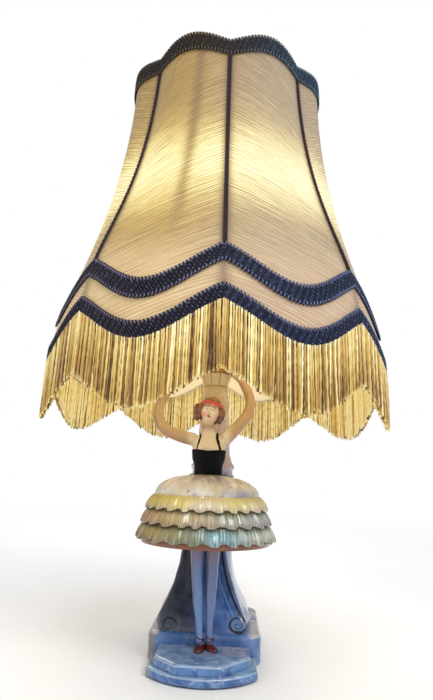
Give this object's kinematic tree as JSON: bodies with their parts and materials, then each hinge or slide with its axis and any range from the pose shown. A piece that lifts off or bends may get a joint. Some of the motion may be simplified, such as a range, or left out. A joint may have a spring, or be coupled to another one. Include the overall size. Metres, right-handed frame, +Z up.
{
  "type": "figural table lamp",
  "caption": "Table lamp with a glazed ceramic dancer before a scrolled pedestal, brass lampholder, wire shade carrier and a scalloped bell shade with braid and fringe.",
  "frame": {"origin": "on the table under the axis of the column and shade", "axes": "+Z up along the column, -Y to the front where the dancer faces, +X to the dancer's left"},
  "size_m": [0.2978, 0.2978, 0.5145],
  "materials": {
    "felt": "dense dark green felt",
    "blue_glaze": "pooled pale to mid blue gloss glaze over pale clay",
    "column_glaze": "pale mauve and cream gloss glaze",
    "capital_glaze": "cream and honey gloss glaze",
    "stocking_glaze": "pale blue gloss glaze",
    "shoe_glaze": "dark red-brown gloss glaze",
    "skirt_glaze": "white gloss glaze with small dots",
    "yellow_glaze": "pale yellow gloss glaze",
    "mauve_glaze": "mauve and green brushed gloss glaze",
    "turquoise_glaze": "turquoise and green brushed gloss glaze",
    "black_glaze": "black gloss glaze",
    "flesh_glaze": "warm flesh gloss glaze",
    "hair_glaze": "auburn gloss glaze",
    "red_glaze": "brick red gloss glaze",
    "brass": "lacquered brass",
    "plated_steel": "zinc plated steel",
    "black_plastic": "black moulded plastic",
    "brown_plastic": "dark brown phenolic moulding",
    "bulb_metal": "rolled aluminium cap",
    "pearl_glass": "pearl frosted glass",
    "white_wire": "white dipped steel wire",
    "cream_silk": "slubbed cream silk",
    "lining_silk": "smooth cream lining",
    "blue_gimp": "looped navy and brown gimp braid",
    "gold_fringe": "gold and cream twisted fringe"
  },
  "bodies": {
    "root": {"felt_pad": "felt", "foot_block": "blue_glaze", "tier_low": "blue_glaze", "tier_top": "blue_glaze", "pedestal": "blue_glaze", "column_foot": "column_glaze", "column_shaft": "column_glaze", "capital": "capital_glaze", "bead_ring": "capital_glaze", "left_leg": "stocking_glaze", "right_leg": "stocking_glaze", "left_shoe": "shoe_glaze", "right_shoe": "shoe_glaze", "skirt": "skirt_glaze", "ruffle_top": "yellow_glaze", "ruffle_mid": "mauve_glaze", "ruffle_hem": "turquoise_glaze", "bodice": "black_glaze", "torso": "flesh_glaze", "left_arm": "flesh_glaze", "right_arm": "flesh_glaze", "head": "flesh_glaze", "hair": "hair_glaze", "headband": "red_glaze", "stem_tube": "brass", "foot_washer": "plated_steel", "foot_nut": "plated_steel", "cord_bush": "black_plastic", "brass_cap": "brass", "lock_nut": "brass", "holder_cap": "brass", "holder_body": "brass", "holder_core": "brown_plastic", "centre_contact": "brass"},
    "switch_bar": {"switch_bar": "black_plastic"},
    "shade_ring": {"shade_ring": "brown_plastic"},
    "bulb": {"bulb_cap": "bulb_metal", "bulb_glass": "pearl_glass"},
    "carrier": {"carrier_plate": "brass", "carrier_uprights": "brass", "carrier_hoop": "brass"},
    "shade": {"fitter": "white_wire", "frame_rings": "white_wire", "frame_ribs": "white_wire", "cover": "cream_silk", "lining": "lining_silk", "rib_gimp": "blue_gimp", "top_braid": "blue_gimp", "mid_braid": "blue_gimp", "low_braid": "blue_gimp", "fringe": "gold_fringe"}
  },
  "joints": [
    {"name": "switch_push", "type": "slide", "parent": "root", "child": "switch_bar", "axis": [1, 0, 0], "range_m": [0, 0.006]},
    {"name": "bulb_turn", "type": "hinge", "parent": "root", "child": "bulb", "pos_m": [0, 0, 0.29], "axis": [0, 0, 1], "continuous": true},
    {"name": "ring_turn", "type": "hinge", "parent": "root", "child": "shade_ring", "pos_m": [0, 0, 0.275], "axis": [0, 0, 1], "continuous": true},
    {"name": "carrier_turn", "type": "hinge", "parent": "root", "child": "carrier", "pos_m": [0, 0, 0.27], "axis": [0, 0, 1], "continuous": true},
    {"name": "shade_lift", "type": "slide", "parent": "carrier", "child": "shade", "axis": [0, 0, 1], "range_m": [0, 0.31]}
  ]
}
